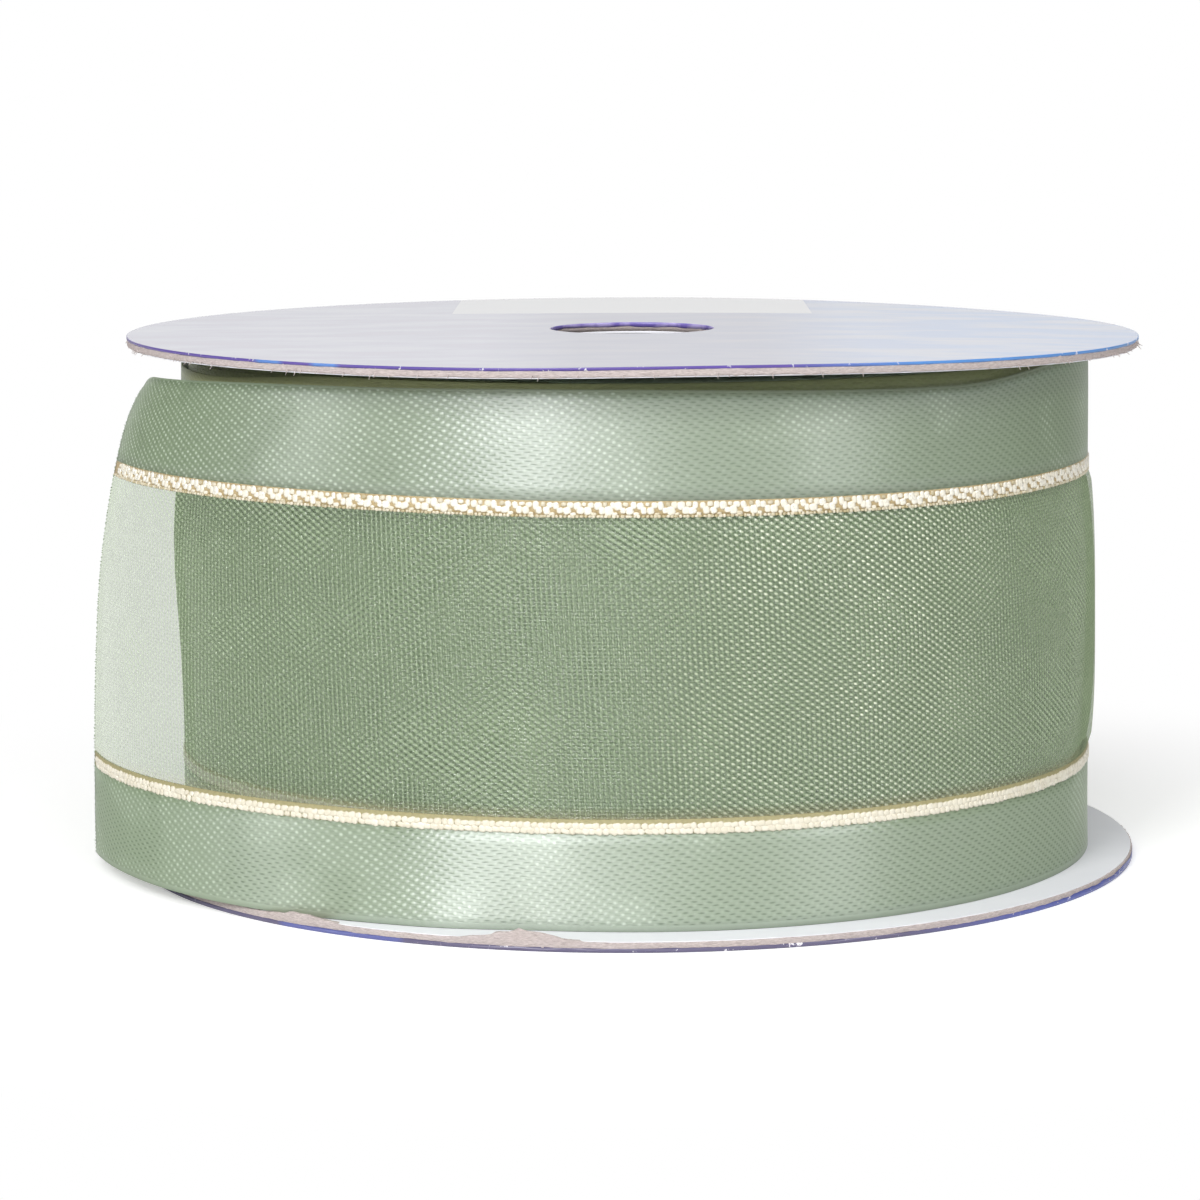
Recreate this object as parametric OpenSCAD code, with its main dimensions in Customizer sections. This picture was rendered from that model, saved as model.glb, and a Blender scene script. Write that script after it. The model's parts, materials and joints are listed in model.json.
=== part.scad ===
// Ribbon spool: two card discs on a paperboard tube, wound with a sheer ribbon that has
// satin borders and metallic cords. The outer turn has sprung loose and stands off the roll.

/* [Discs] */
// Diameter of the two card discs
disc_d = 81.5; // [76:0.5:120]
// Diameter of the finger hole through both discs
hole_d = 13.3; // [8:0.1:40]
// Thickness of the greyboard in each disc
board_t = 0.6; // [0.3:0.1:2]
// Thickness of the printed label on each outer face
label_t = 0.12; // [0.05:0.01:0.4]
// Thickness of the white liner paper on each inner face
liner_t = 0.08; // [0.05:0.01:0.4]

/* [Core] */
// Outer diameter of the paperboard tube
core_d = 56; // [50:0.5:60]
// Wall of the paperboard tube
core_wall = 1; // [0.5:0.1:3]
// Leg of the glue bead in the corner between tube and disc
glue_leg = 1.4; // [0.5:0.1:3]
// Thickness of the tape that holds the ribbon's inner end
tape_t = 0.2; // [0.05:0.01:0.5]
// Height of that tape along the tube
tape_w = 20; // [5:1:30]
// Length of that tape round the tube
tape_l = 18; // [5:1:40]

/* [Ribbon] */
// Width of the lower satin border
lower_satin_w = 7; // [3:0.1:20]
// Width of the lower metallic cord
lower_gold_w = 1.1; // [0.5:0.1:3]
// Width of the sheer middle
organza_w = 22.3; // [18:0.1:60]
// Width of the upper metallic cord
upper_gold_w = 1.2; // [0.5:0.1:3]
// Width of the upper satin border
upper_satin_w = 8.4; // [3:0.1:20]
// Thickness of the ribbon
ribbon_t = 0.2; // [0.1:0.01:0.4]

/* [Winding] */
// Number of turns on the roll
turns = 14; // [6:1:24]
// Number of outer turns that wind over the plain inner ones
outer_turns = 3; // [2:1:4]
// Space between one turn and the next
turn_gap = 0.42; // [0.41:0.01:0.8]
// Space between the tape and the first turn
tape_gap = 0.1; // [0.05:0.01:0.4]
// Space between the ribbon's lower edge and the lower disc
lower_edge_gap = 0.3; // [0.3:0.05:2]
// Space between the ribbon's upper edge and the upper disc
upper_edge_gap = 0.7; // [0.3:0.05:3]

/* [Loose turn] */
// Where the loose turn leaves the roll, in degrees from the front towards the left
root_angle = 10; // [-60:1:60]
// How far round the spool the loose turn reaches, in degrees
tail_sweep = 70; // [50:1:120]
// How far its lower edge stands off the roll at most
tail_flare = 7.6; // [1:0.1:15]
// Where it stands off most, in degrees from its root
flare_peak = 85; // [60:1:170]
// Share of the flare that is lost at the upper edge
flare_lean = 0.66; // [0:0.01:0.9]
// How suddenly it leans in towards the upper edge
lean_power = 3; // [1:0.1:4]
// How far its upper edge sinks where it stands off most
tail_drop = 1.8; // [0:0.1:5]
// How suddenly it sinks towards the upper edge
drop_power = 8; // [1:0.5:12]
// Slit between the roll's last turn and the loose turn's root
root_slit = 0.3; // [0.3:0.05:1]

/* [Hidden] */
$fn = 96;

// Heights, from the table up
ribbon_w = lower_satin_w + lower_gold_w + organza_w + upper_gold_w + upper_satin_w;
inner_h = lower_edge_gap + ribbon_w + upper_edge_gap;
lower_board_z = label_t;
lower_liner_z = lower_board_z + board_t;
inner_z = lower_liner_z + liner_t;
lower_satin_z = inner_z + lower_edge_gap;
lower_gold_z = lower_satin_z + lower_satin_w;
organza_z = lower_gold_z + lower_gold_w;
upper_gold_z = organza_z + organza_w;
upper_satin_z = upper_gold_z + upper_gold_w;
upper_liner_z = inner_z + inner_h;
upper_board_z = upper_liner_z + liner_t;
upper_label_z = upper_board_z + board_t;

// Radii of the winding, at the ribbon's inner face: the first turn, the outer layer and the roll's end
core_r = core_d / 2;
pitch = ribbon_t + turn_gap;
first_r = core_r + tape_t + tape_gap;
outer_r = first_r + (turns - outer_turns) * pitch;
last_r = outer_r + outer_turns * pitch;

// The loose turn starts a slit past the end of the roll, measured at its own radius
root_a = root_slit / last_r * 180 / PI;
tail_steps = 28;

// Overrun of a cutting tool past the face it cuts
overrun = 1;

// Half turn k of the outer layer has its own radius and centre, so the turns join into a smooth spiral
function half_turn_r(k) = outer_r + k * pitch / 2;
function half_turn_x(k) = k % 2 * pitch / 2;

// Point of the outer layer at angle a from its inner end, through the ribbon from its inner face
function wound_point(a, through) =
    let (k = floor(a / 180), r = half_turn_r(k) + through)
    [half_turn_x(k) + r * cos(a), r * sin(a)];

// Share of the flare that the loose turn has at angle a from the roll's end
function flare_share(a) = (1 - cos(180 * a / flare_peak)) / 2;

// Inner face of the loose turn at angle a, where up is the share of the ribbon's width from its lower edge
function tail_r(a, up) = last_r + tail_flare * flare_share(a) * (1 - flare_lean * pow(up, lean_power));

function tail_point(a, z, through) =
    let (up = (z - lower_satin_z) / ribbon_w, r = tail_r(a, up) + through)
    [r * cos(a), r * sin(a), z - tail_drop * flare_share(a) * pow(up, drop_power)];

// Least gap of the winding to itself, measured on points along every outer turn and on the loose turn
gap_step = 15;
turn_gaps = [
    for (a = [0 : gap_step : 360 * (outer_turns - 1) - gap_step], b = [-gap_step : gap_step : gap_step])
        if (a + b >= 0) norm(wound_point(a + b + 360, 0) - wound_point(a, ribbon_t))
];
tail_gaps = [
    for (a = [0 : gap_step : tail_sweep])
        tail_r(a, 1) - norm(wound_point(360 * (outer_turns - 1) + a, ribbon_t))
];
echo(least_gap_of_winding_mm = min(concat(turn_gaps, tail_gaps)));
echo(length_on_roll_mm = PI * (first_r + last_r) * turns);
echo(joint_at_mm = [
    -(last_r + ribbon_t / 2) * sin(root_angle + root_a),
    -(last_r + ribbon_t / 2) * cos(root_angle + root_a)
]);

// One layer of a card disc, with the finger hole
module disc_layer(z, t) {
    translate([0, 0, z]) difference() {
        cylinder(d = disc_d, h = t);
        translate([0, 0, -overrun]) cylinder(d = hole_d, h = t + 2 * overrun);
    }
}

// The ribbon is wound clockwise seen from above, and its outer end comes off at the front
module along_winding() {
    rotate(-90 - root_angle) mirror([0, 1, 0]) children();
}

// One yarn group of the ribbon, from its lower edge z up to its width w, on the outer layer of turns
module wound_band(z, w) {
    along_winding() for (k = [0 : 2 * outer_turns - 1])
        translate([half_turn_x(k), 0, z]) rotate(k % 2 * 180)
            rotate_extrude(angle = 180) translate([half_turn_r(k), 0]) square([ribbon_t, w]);
}

// The same yarn group on the loose turn, as a thin wall that leans out towards the lower edge
module tail_band(z, w, rows) {
    ring = 2 * (rows + 1);
    angles = [for (i = [0 : tail_steps]) root_a + (tail_sweep - root_a) * i / tail_steps];
    points = [
        for (a = angles) each concat(
            [for (j = [0 : rows]) tail_point(a, z + w * j / rows, 0)],
            [for (j = [rows : -1 : 0]) tail_point(a, z + w * j / rows, ribbon_t)]
        )
    ];
    last = tail_steps * ring;
    walls = [
        for (i = [0 : tail_steps - 1], k = [0 : ring - 1])
            let (a = i * ring + k, b = i * ring + (k + 1) % ring)
            each [[a, b + ring, b], [a, a + ring, b + ring]]
    ];
    ends = [
        for (j = [0 : rows - 1])
            let (a = j, b = j + 1, c = ring - 2 - j, d = ring - 1 - j)
            each [
                [a, b, c], [a, c, d],
                [last + a, last + c, last + b], [last + a, last + d, last + c]
            ]
    ];
    along_winding() polyhedron(points, concat(walls, ends), convexity = 4);
}

// A fillet of glue inside the tube, standing up or hanging down from a disc
module glue_bead(z, way) {
    tube_r = core_r - core_wall;
    translate([0, 0, z]) rotate_extrude()
        polygon([[tube_r, 0], [tube_r - glue_leg, 0], [tube_r, way * glue_leg]]);
}

module lower_label() { color("#6a5cb4") disc_layer(0, label_t); }

module lower_board() { color("#b9aea8") disc_layer(lower_board_z, board_t); }

module lower_liner() { color("#e2e5ea") disc_layer(lower_liner_z, liner_t); }

module upper_liner() { color("#e2e5ea") disc_layer(upper_liner_z, liner_t); }

module upper_board() { color("#beb7b2") disc_layer(upper_board_z, board_t); }

module upper_label() { color("#7d74c0") disc_layer(upper_label_z, label_t); }

module core_tube() {
    color("#a9987f") translate([0, 0, inner_z]) difference() {
        cylinder(r = core_r, h = inner_h);
        translate([0, 0, -overrun]) cylinder(r = core_r - core_wall, h = inner_h + 2 * overrun);
    }
}

module lower_glue_bead() { color("#e6dcc0") glue_bead(inner_z, 1); }

module upper_glue_bead() { color("#e6dcc0") glue_bead(upper_liner_z, -1); }

module start_tape() {
    color("#ddd8c8") along_winding()
        translate([0, 0, lower_satin_z + (ribbon_w - tape_w) / 2])
            rotate_extrude(angle = tape_l / core_r * 180 / PI)
                translate([core_r, 0]) square([tape_t, tape_w]);
}

// The turns under the outer layer, as one plain ring
module inner_turns() {
    color("#93a888") translate([0, 0, lower_satin_z]) difference() {
        cylinder(r = outer_r - turn_gap, h = ribbon_w);
        translate([0, 0, -overrun]) cylinder(r = first_r, h = ribbon_w + 2 * overrun);
    }
}

module wound_lower_satin() { color("#9fb197") wound_band(lower_satin_z, lower_satin_w); }

module wound_lower_gold() { color("#e4dfc2") wound_band(lower_gold_z, lower_gold_w); }

module wound_organza() { color("#82996f") wound_band(organza_z, organza_w); }

module wound_upper_gold() { color("#e0d5ac") wound_band(upper_gold_z, upper_gold_w); }

module wound_upper_satin() { color("#9fb197") wound_band(upper_satin_z, upper_satin_w); }

module tail_lower_satin() { color("#9fb197") tail_band(lower_satin_z, lower_satin_w, 2); }

module tail_lower_gold() { color("#e4dfc2") tail_band(lower_gold_z, lower_gold_w, 1); }

module tail_organza() { color("#82996f") tail_band(organza_z, organza_w, 6); }

module tail_upper_gold() { color("#e0d5ac") tail_band(upper_gold_z, upper_gold_w, 1); }

module tail_upper_satin() { color("#9fb197") tail_band(upper_satin_z, upper_satin_w, 3); }

lower_label();
lower_board();
lower_liner();
lower_glue_bead();
core_tube();
upper_glue_bead();
start_tape();
inner_turns();
wound_lower_satin();
wound_lower_gold();
wound_organza();
wound_upper_gold();
wound_upper_satin();
tail_lower_satin();
tail_lower_gold();
tail_organza();
tail_upper_gold();
tail_upper_satin();
upper_liner();
upper_board();
upper_label();
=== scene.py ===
# A card ribbon spool, wound with sheer green ribbon that has satin borders and metallic cords.
# The sections follow the spool as it is put together, from the table up. Sizes are in metres.
import json
import math
import random

import bmesh
import bpy
from mathutils import Matrix, Vector, noise


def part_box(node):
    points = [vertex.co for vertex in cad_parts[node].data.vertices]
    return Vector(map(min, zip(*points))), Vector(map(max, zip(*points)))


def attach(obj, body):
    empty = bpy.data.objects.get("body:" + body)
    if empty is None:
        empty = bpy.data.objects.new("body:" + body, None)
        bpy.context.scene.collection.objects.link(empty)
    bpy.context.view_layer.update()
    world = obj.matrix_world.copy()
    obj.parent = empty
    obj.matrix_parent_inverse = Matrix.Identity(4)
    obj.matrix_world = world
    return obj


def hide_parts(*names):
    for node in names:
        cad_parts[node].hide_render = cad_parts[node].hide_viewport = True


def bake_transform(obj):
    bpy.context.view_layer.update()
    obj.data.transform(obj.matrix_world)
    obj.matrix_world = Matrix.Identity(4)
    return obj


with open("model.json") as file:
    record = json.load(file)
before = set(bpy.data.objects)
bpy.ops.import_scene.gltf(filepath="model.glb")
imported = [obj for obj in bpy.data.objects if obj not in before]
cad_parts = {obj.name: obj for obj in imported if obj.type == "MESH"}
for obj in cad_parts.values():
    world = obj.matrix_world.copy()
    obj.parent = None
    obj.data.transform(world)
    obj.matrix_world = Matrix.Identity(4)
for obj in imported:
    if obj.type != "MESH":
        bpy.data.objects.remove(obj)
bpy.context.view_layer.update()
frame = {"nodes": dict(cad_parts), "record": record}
MM = 0.001

# Studio
# A seamless white table and backdrop in a dim room, under six soft lamps. The backdrop shows white to the
# eye and in reflections off the far side, while a low, even glow from all round fills the shadows.


def linear(hex_colour):
    """An sRGB hex colour as linear RGBA."""
    channels = [int(hex_colour[i:i + 2], 16) / 255 for i in (0, 2, 4)]
    return tuple(c / 12.92 if c <= 0.04045 else ((c + 0.055) / 1.055) ** 2.4 for c in channels) + (1.0,)


def add(tree, kind, inputs=(), **settings):
    """Adds one shader node. Its kind is followed by its operation, where it has one. Its inputs are a list
    in order, or a dict by name or number. Each is a plain value, an sRGB hex colour, a node's output, or a
    node whose first output in use is meant."""
    kind, *operation = kind.split()
    made = tree.nodes.new("ShaderNode" + kind)
    if operation:
        made.operation = operation[0]
    for name, value in settings.items():
        setattr(made, name, value)
    for socket, value in inputs.items() if isinstance(inputs, dict) else enumerate(inputs):
        if isinstance(value, bpy.types.Node):
            value = next(output for output in value.outputs if output.enabled)
        if isinstance(value, str):
            value = linear(value)
        if isinstance(value, bpy.types.NodeSocket):
            tree.links.new(value, made.inputs[socket])
        else:
            made.inputs[socket].default_value = value
    return made


def new_material(name):
    """An empty material and its node tree."""
    material = bpy.data.materials.new(name)
    material.use_nodes = True
    material.node_tree.nodes.clear()
    return material, material.node_tree


def finish_material(tree, inputs):
    """Ends a material in one principled surface."""
    body = add(tree, "BsdfPrincipled", inputs)
    add(tree, "OutputMaterial", {"Surface": body})


def finish_piece(name, bm, *materials):
    """Turns a bmesh into a smooth-shaded object at the origin."""
    for face in bm.faces:
        face.smooth = True
    mesh = bpy.data.meshes.new(name)
    bm.to_mesh(mesh)
    bm.free()
    for material in materials:
        mesh.materials.append(material)
    piece = bpy.data.objects.new(name, mesh)
    bpy.context.scene.collection.objects.link(piece)
    return piece


ambient_strength = 0.24
world = bpy.data.worlds.new("studio")
bpy.context.scene.world = world
world.use_nodes = True
sky = world.node_tree
sky.nodes.clear()
rays = add(sky, "LightPath")
heading = add(sky, "SeparateXYZ", [add(sky, "TexCoord").outputs["Generated"]])
backdrop = add(sky, "Math GREATER_THAN", [heading.outputs["Y"], 0.85])
mirrored = add(sky, "Math MULTIPLY", [backdrop, rays.outputs["Is Glossy Ray"]])
through = rays.outputs["Is Transmission Ray"]
seen = add(sky, "Math MAXIMUM", [rays.outputs["Is Camera Ray"], through])
seen = add(sky, "Math MAXIMUM", [seen, mirrored])
strength = add(sky, "MapRange", {"Value": seen, "To Min": ambient_strength, "To Max": 1.0})
glow = add(sky, "Background", {"Color": "ffffff", "Strength": strength})
add(sky, "OutputWorld", {"Surface": glow})

table_reach = 6.0
table_drop = 0.02 * MM
shadow_reach = (45 * MM, 90 * MM)
paper, tree = new_material("white backdrop paper")
rays = add(tree, "LightPath")
away = add(tree, "VectorMath LENGTH", [add(tree, "TexCoord").outputs["Object"]])
clear = add(tree, "MapRange", {
    "Value": away, "From Min": shadow_reach[0], "From Max": shadow_reach[1],
}, interpolation_type="SMOOTHSTEP")
clear = add(tree, "Math MULTIPLY", [rays.outputs["Is Camera Ray"], clear])
lift = add(tree, "Math MULTIPLY", [rays.outputs["Is Camera Ray"], 0.3])
matt = add(tree, "BsdfDiffuse", {"Color": "f4f4f4"})
near = add(tree, "AddShader", [matt, add(tree, "Emission", {"Strength": lift})])
add(tree, "OutputMaterial", {"Surface": add(tree, "MixShader", [clear, near, add(tree, "Emission")])})
bm = bmesh.new()
bmesh.ops.create_grid(bm, x_segments=1, y_segments=1, size=table_reach)
bmesh.ops.translate(bm, verts=bm.verts, vec=(0, 0, -table_drop))
finish_piece("table", bm, paper)

lamp_aim = Vector((0, 0, 0.02))
for lamp_name, azimuth, elevation, distance, width, height, watts in (
    ("key_softbox", -25, 28, 0.75, 0.22, 0.40, 2.9),
    ("side_softbox", -74, 26, 0.80, 0.10, 0.40, 0.8),
    ("front_softbox", -5, 36, 0.80, 0.26, 0.30, 1.4),
    ("fill_softbox", 32, 40, 0.80, 0.70, 0.40, 1.2),
    ("right_softbox", 56, 36, 0.80, 0.16, 0.20, 1.0),
    ("top_softbox", 0, 80, 0.80, 0.60, 0.60, 0.9),
):
    turn, climb = math.radians(azimuth), math.radians(elevation)
    away = Vector((math.sin(turn) * math.cos(climb), -math.cos(turn) * math.cos(climb), math.sin(climb)))
    lamp = bpy.data.lights.new(lamp_name, "AREA")
    lamp.shape = "RECTANGLE"
    lamp.size, lamp.size_y, lamp.energy = width, height, watts
    holder = bpy.data.objects.new(lamp_name, lamp)
    holder.location = lamp_aim + away * distance
    holder.rotation_euler = away.to_track_quat("Z", "Y").to_euler()
    bpy.context.scene.collection.objects.link(holder)

camera_data = bpy.data.cameras.new("camera")
camera_data.sensor_width = 36.0
camera_data.lens = 123.06
camera_data.clip_start = 0.01
camera = bpy.data.objects.new("camera", camera_data)
camera.location = (0, -0.3328, 0.0661)
camera.rotation_euler = (math.radians(90 - 7.833), math.radians(0.3), math.radians(0.427))
bpy.context.scene.collection.objects.link(camera)
bpy.context.scene.camera = camera
bpy.context.scene.view_settings.view_transform = "Standard"

# Lower disc
# A die-cut disc of grey pulp board, with a printed gloss label pasted under it and white liner paper on top.
# The die has dragged the label's edge over the rim, and torn the pulp up into fibrous flaps at the front.
disc_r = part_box("lower_board")[1].x
hole_r = frame["record"]["mounts"][0]["dims"]["r_mm"] * MM
rim_steps = 720
hole_lip = 0.24 * MM


def spun_layer(section):
    """A closed ring with a cross-section of (radius, height) points, spun about the spool's axis."""
    bm = bmesh.new()
    corners = [bm.verts.new((r, 0, z)) for r, z in section]
    edges = [bm.edges.new((a, b)) for a, b in zip(corners, corners[1:] + corners[:1])]
    bmesh.ops.spin(
        bm, geom=corners + edges, cent=(0, 0, 0), axis=(0, 0, 1), angle=2 * math.pi,
        steps=rim_steps, use_merge=True,
    )
    bmesh.ops.recalc_face_normals(bm, faces=bm.faces)
    return bm


def layer_section(low, high, rim, soft):
    """Cross-section of a thin card layer from the hole out to its rim, with a softened rim edge."""
    rings = [hole_r, hole_r + 0.4 * MM, 0.3 * disc_r, 0.5 * disc_r, 0.7 * disc_r, 0.85 * disc_r]
    rings += [rim - 1.2 * MM, rim - 3 * soft]
    edge = [(rim - soft, low), (rim - 0.3 * soft, low + 0.3 * soft), (rim, low + soft)]
    edge += [(rim, high - soft), (rim - 0.3 * soft, high - 0.3 * soft), (rim - soft, high)]
    return [(r, low) for r in rings] + edge + [(r, high) for r in reversed(rings)]


def label_section(face, inside, lip):
    """Cross-section of a label whose cut edges are dragged over the rim and into the hole. The face is its
    outer height, inside is where it meets the board, and lip is how far past that the edges reach."""
    tip = inside + math.copysign(lip, inside - face)
    film, soft = 0.03 * MM, math.copysign(0.03 * MM, inside - face)
    rings = [hole_r + 0.15 * MM, 0.3 * disc_r, 0.5 * disc_r, 0.7 * disc_r, 0.85 * disc_r, disc_r - 0.15 * MM]
    section = [(hole_r - film, tip), (hole_r, tip), (hole_r, inside)] + [(r, inside) for r in rings]
    section += [(disc_r, inside), (disc_r, tip), (disc_r + film, tip)]
    section += [(disc_r + film, face + soft), (disc_r, face)]
    section += [(r, face) for r in reversed(rings)] + [(hole_r, face), (hole_r - film, face + soft)]
    return section


def ease(x):
    """0 to 1 with a smooth start and stop."""
    x = min(max(x, 0.0), 1.0)
    return x * x * (3 - 2 * x)


def angle_of(point):
    """Degrees round the spool from the front towards the right."""
    return math.degrees(math.atan2(point.x, -point.y))


def wear_lip(bm, inside, lip, curl):
    """Wears a label's dragged edges unevenly. At the right those on the rim curl further, and those in the
    hole keep a length of their own. The lip is how far the edges reach past the inside, upwards."""
    for vert in bm.verts:
        past = (vert.co.z - inside) / lip
        if past > 0.9 and not hole_r < vert.co.xy.length < disc_r:
            worn = noise.fractal(vert.co / (1.6 * MM), 1.0, 2.0, 3)
            angle = angle_of(vert.co)
            more = 1 + curl * ease((angle - 40) / 25) * ease((150 - angle) / 40)
            if vert.co.xy.length < 0.5 * disc_r:
                more = hole_lip / abs(lip)
            vert.co.z = inside + past * lip * more * min(max(1.0 + 0.4 * worn, 0.3), 1.2)
    return bm


# Grey pulp board: unbleached recycled fibre, pressed matt, with pinkish flecks and layers along the rim
greyboard, tree = new_material("grey pulp board")
where = add(tree, "TexCoord").outputs["Object"]
fibre = add(tree, "Mapping", {"Vector": where, "Scale": (1.0, 1.0, 6.0)})
flecks = add(tree, "TexNoise", {"Vector": fibre, "Scale": 1 / (0.35 * MM), "Detail": 6.0, "Roughness": 0.65})
blotch = add(tree, "TexNoise", {"Vector": where, "Scale": 1 / (6 * MM), "Detail": 3.0})
tone = add(tree, "ValToRGB", {"Fac": flecks})
tone.color_ramp.elements[0].position, tone.color_ramp.elements[0].color = 0.30, linear("a09795")
tone.color_ramp.elements[1].position, tone.color_ramp.elements[1].color = 0.68, linear("d4cccb")
warmth = add(tree, "Mix", {0: blotch, 6: "fffaf4", 7: "f6f2f4"}, data_type="RGBA")
tint = add(tree, "Mix", {0: 1.0, 6: tone, 7: warmth}, data_type="RGBA", blend_type="MULTIPLY")
relief = add(tree, "Bump", {"Height": flecks, "Strength": 1.0, "Distance": 0.05 * MM})
finish_material(tree, {
    "Base Color": tint, "Roughness": 0.9, "Specular IOR Level": 0.2, "Normal": relief,
})

# White liner: thin bleached paper with a faint blue brightener and soft cockling from the paste
liner_paper, tree = new_material("white liner paper")
where = add(tree, "TexCoord").outputs["Object"]
cockle = add(tree, "TexNoise", {"Vector": where, "Scale": 1 / (4 * MM), "Detail": 2.0})
grain = add(tree, "TexNoise", {"Vector": where, "Scale": 1 / (0.25 * MM), "Detail": 3.0})
shade = add(tree, "Mix", {0: cockle, 6: "e4e5eb", 7: "ebebf0"}, data_type="RGBA")
relief = add(tree, "Bump", {"Height": grain, "Strength": 0.25, "Distance": 0.03 * MM})
finish_material(tree, {"Base Color": shade, "Roughness": 0.7, "Normal": relief})

# Printed label: coated paper under gloss varnish, which turns whitish at a low angle. A pale grey field
# drifts to faint violet and sky blue round a bare panel. Its cut edges are deep violet to blue and scuffed
# white in places. On the lower label they are painted darker and greyer as shade near the table, and in
# the hole they are painted a paler violet as light
printed_label, tree = new_material("gloss printed label")
panel_from, panel_half_w = 18.5 * MM, 15.4 * MM
where = add(tree, "TexCoord").outputs["Object"]
axes = add(tree, "SeparateXYZ", [where])
flat = add(tree, "VectorMath MULTIPLY", [where, (1.0, 1.0, 0.0)])
radius = add(tree, "VectorMath LENGTH", [flat])
streaks = add(tree, "Mapping", {"Vector": where, "Scale": (1.0, 2.4, 1.0)})
clouds = add(tree, "TexNoise", {"Vector": streaks, "Scale": 1 / (9 * MM), "Detail": 4.0})
across = add(tree, "MapRange", {
    "Value": axes.outputs["X"], "From Min": -12 * MM, "From Max": 30 * MM, "To Min": -0.35, "To Max": 0.65,
})
drift = add(tree, "Math ADD", [across, clouds], use_clamp=True)
wash = add(tree, "Mix", {0: drift, 6: "bfbdc9", 7: "b0bed9"}, data_type="RGBA")
haze = add(tree, "MapRange", {"Value": clouds, "From Min": 0.4, "From Max": 0.65, "To Max": 0.8})
wash = add(tree, "Mix", {0: haze, 6: wash, 7: "cbcbd2"}, data_type="RGBA")
middle = add(tree, "Math SUBTRACT", [axes.outputs["X"], 3 * MM])
middle = add(tree, "Math ABSOLUTE", [middle])
middle = add(tree, "MapRange", {
    "Value": middle, "From Min": 7 * MM, "From Max": 15 * MM, "To Min": 0.6, "To Max": 0.0,
})
wash = add(tree, "Mix", {0: middle, 6: wash, 7: "a4a3ae"}, data_type="RGBA")
back = add(tree, "Math GREATER_THAN", [axes.outputs["Y"], panel_from])
aside = add(tree, "Math ABSOLUTE", [axes.outputs["X"]])
beside = add(tree, "Math LESS_THAN", [aside, panel_half_w])
panel = add(tree, "Math MULTIPLY", [back, beside])
wash = add(tree, "Mix", {0: panel, 6: wash, 7: "d9d9da"}, data_type="RGBA")
rim_edge = add(tree, "Math GREATER_THAN", [radius, disc_r - 0.02 * MM])
hole_edge = add(tree, "Math LESS_THAN", [radius, hole_r + 0.02 * MM])
cut_edge = add(tree, "Math MAXIMUM", [rim_edge, hole_edge])
underside = add(tree, "Math LESS_THAN", [axes.outputs["Z"], 20 * MM])
middle = add(tree, "MapRange", {"Value": underside, "To Min": -24.7 * MM, "To Max": -21.9 * MM})
aside = add(tree, "Math SUBTRACT", [axes.outputs["X"], middle])
aside = add(tree, "Math ABSOLUTE", [aside])
until = add(tree, "MapRange", {"Value": underside, "To Min": 3.5 * MM, "To Max": 5.0 * MM})
until = add(tree, "Math SUBTRACT", [until, aside])
until = add(tree, "MapRange", {"Value": until, "From Max": 0.6 * MM, "To Max": 0.75})
since = add(tree, "MapRange", {"Value": underside, "To Min": 0.9 * MM, "To Max": -2.0 * MM})
since = add(tree, "Math SUBTRACT", [aside, since])
since = add(tree, "MapRange", {"Value": since, "From Max": 0.6 * MM})
patch = add(tree, "Math MULTIPLY", [until, since])
further = add(tree, "Math MULTIPLY_ADD", [underside, -9 * MM, axes.outputs["X"]])
far_right = add(tree, "MapRange", {"Value": further, "From Min": 11 * MM, "From Max": 21 * MM})
bluer = add(tree, "Math MAXIMUM", [patch, far_right])
ink = add(tree, "Mix", {0: bluer, 6: "5c4b97", 7: "558ccf"}, data_type="RGBA")
# Painted shade: the lower label's cut edge is darker and greyer, as in shade by the table.
shaded_lower_ink = add(tree, "Mix", {0: bluer, 6: "645f7a", 7: "6068a8"}, data_type="RGBA")
ink = add(tree, "Mix", {0: underside, 6: ink, 7: shaded_lower_ink}, data_type="RGBA")
scuff = add(tree, "TexNoise", {"Vector": where, "Scale": 1 / (0.9 * MM), "Detail": 5.0, "Roughness": 0.7})
scuff = add(tree, "MapRange", {"Value": scuff, "From Min": 0.63, "From Max": 0.67})
ink = add(tree, "Mix", {0: scuff, 6: ink, 7: "eceaf0"}, data_type="RGBA")
# Painted light: the ink in the hole is paler, as if better lit, in lighter patches.
pale = add(tree, "TexNoise", {"Vector": where, "Scale": 1 / (1.6 * MM), "Detail": 3.0})
pale = add(tree, "MapRange", {"Value": pale, "From Min": 0.42, "From Max": 0.62})
lit_hole_ink = add(tree, "Mix", {0: pale, 6: "7a6cbc", 7: "b4a8de"}, data_type="RGBA")
ink = add(tree, "Mix", {0: hole_edge, 6: ink, 7: lit_hole_ink}, data_type="RGBA")
print_colour = add(tree, "Mix", {0: cut_edge, 6: wash, 7: ink}, data_type="RGBA")
finish_material(tree, {"Base Color": print_colour, "Roughness": 0.25, "IOR": 1.5})

label_low, label_high = (corner.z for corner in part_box("lower_label"))
board_low, board_high = (corner.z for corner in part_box("lower_board"))
liner_low, liner_high = (corner.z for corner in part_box("lower_liner"))

label_lip = 0.2 * MM
bm = wear_lip(spun_layer(label_section(label_low, label_high, label_lip)), label_high, label_lip, 1.0)
lower_label = finish_piece("lower_disc_label", bm, printed_label)
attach(lower_label, "spool")
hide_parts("lower_label")

torn_flaps = ((-11.8, 4.2, 0.8 * MM), (-37.5, 3.4, 0.42 * MM), (-60, 16, 0.16 * MM))


def torn_up(point):
    """How far the pulp has been torn up at this place on the rim."""
    angle = angle_of(point)
    return sum(h * math.exp(-((angle - at) / reach) ** 2) for at, reach, h in torn_flaps)


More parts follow.
